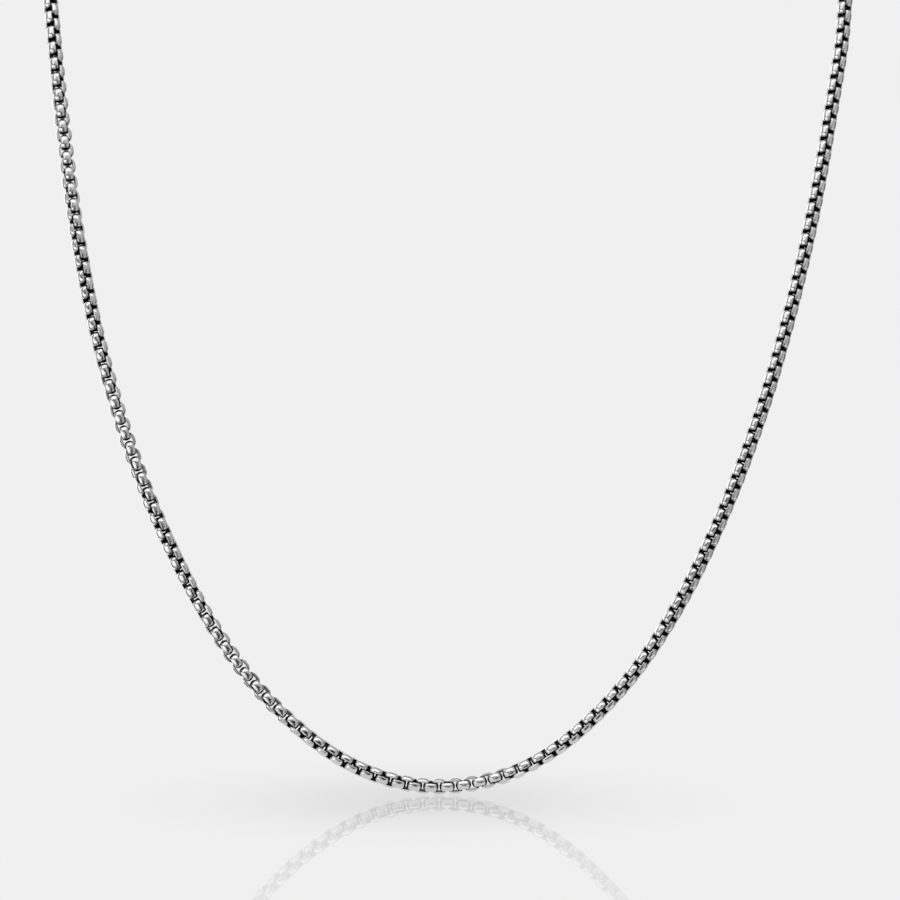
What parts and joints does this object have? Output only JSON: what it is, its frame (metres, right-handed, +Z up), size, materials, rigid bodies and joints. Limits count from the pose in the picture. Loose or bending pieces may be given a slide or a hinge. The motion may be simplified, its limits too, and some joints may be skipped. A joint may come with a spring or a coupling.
{
  "type": "rounded box chain necklace",
  "caption": "Slim polished silver necklace of interlocked square-bent half-round links, a closed loop hanging in a deep U with a plain barrel clasp at the nape.",
  "frame": {"origin": "the point at the nape of the neck that carries the loop, at the middle of the clasp", "axes": "+Z up, -Y towards the front where the chain hangs in its U, +X towards the viewer's right"},
  "size_m": [0.158, 0.0865, 0.1856],
  "materials": {
    "silver": "polished silver, darkened in the recesses between the links"
  },
  "bodies": {
    "root": {"chain_front": "silver", "chain_back": "silver", "clasp": "silver"}
  },
  "joints": []
}
